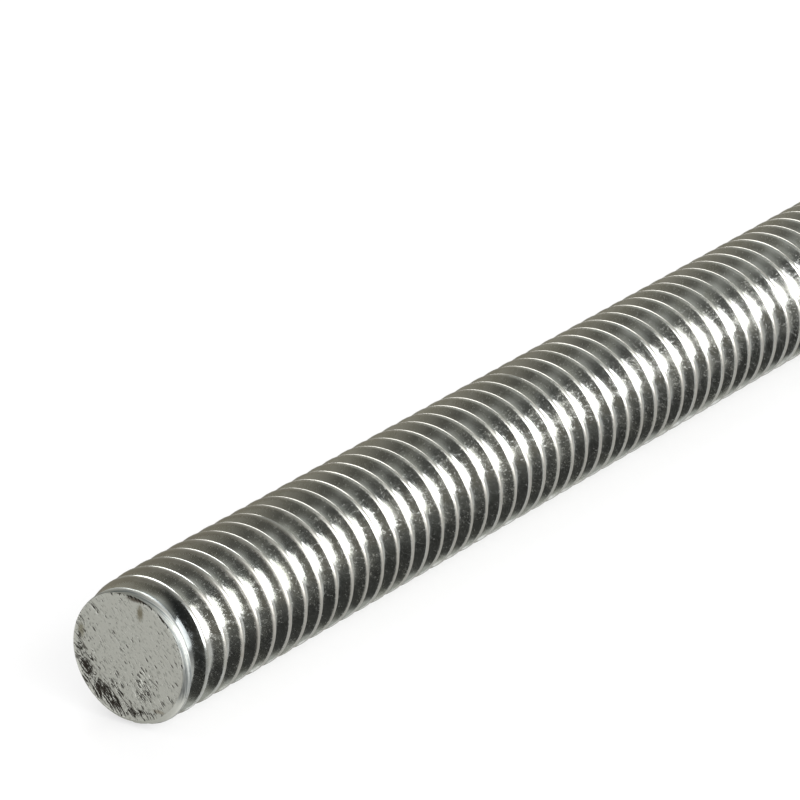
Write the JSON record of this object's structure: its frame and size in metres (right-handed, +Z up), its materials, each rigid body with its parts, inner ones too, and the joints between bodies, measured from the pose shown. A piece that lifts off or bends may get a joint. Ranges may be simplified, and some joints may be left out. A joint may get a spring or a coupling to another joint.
{
  "type": "threaded rod",
  "caption": "Slender steel rod with a right-hand V thread along its whole length and a flat cut face at each end. Nuts run along it to hang, clamp or tie other parts together.",
  "frame": {"origin": "middle of the near cut face, on the rod's axis", "axes": "+X runs along the rod from the near cut face to the far one, +Z is up with the rod lying level"},
  "size_m": [0.1016, 0.0078, 0.0078],
  "materials": {
    "zinc_plated_steel": "bright zinc plating on rolled steel, with fine nicks and a grey cut face"
  },
  "bodies": {
    "root": {"threaded_rod": "zinc_plated_steel"}
  },
  "joints": []
}
